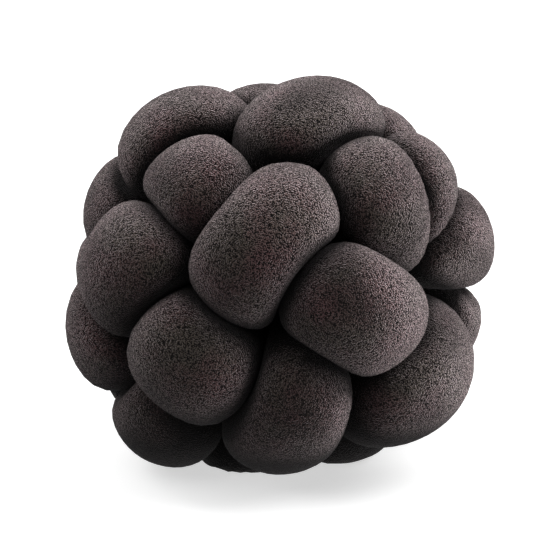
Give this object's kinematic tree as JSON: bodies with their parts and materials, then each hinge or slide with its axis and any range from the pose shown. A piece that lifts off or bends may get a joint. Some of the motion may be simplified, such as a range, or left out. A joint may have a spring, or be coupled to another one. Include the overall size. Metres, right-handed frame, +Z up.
{
  "type": "knot cushion",
  "caption": "Ball-shaped cushion of a long stuffed plush tube knotted over and under itself, with plump rounded lobes all over and a small flat underside.",
  "frame": {"origin": "centre of the bounding box at its bottom, on the surface that the cushion rests on", "axes": "+Z up; the side that the picture shows faces -Y, and +X is to its right"},
  "size_m": [0.3008, 0.2962, 0.2759],
  "materials": {
    "plush": "short-pile plush, matt, very dark warm grey"
  },
  "bodies": {
    "root": {"knotted_tube": "plush"}
  },
  "joints": []
}
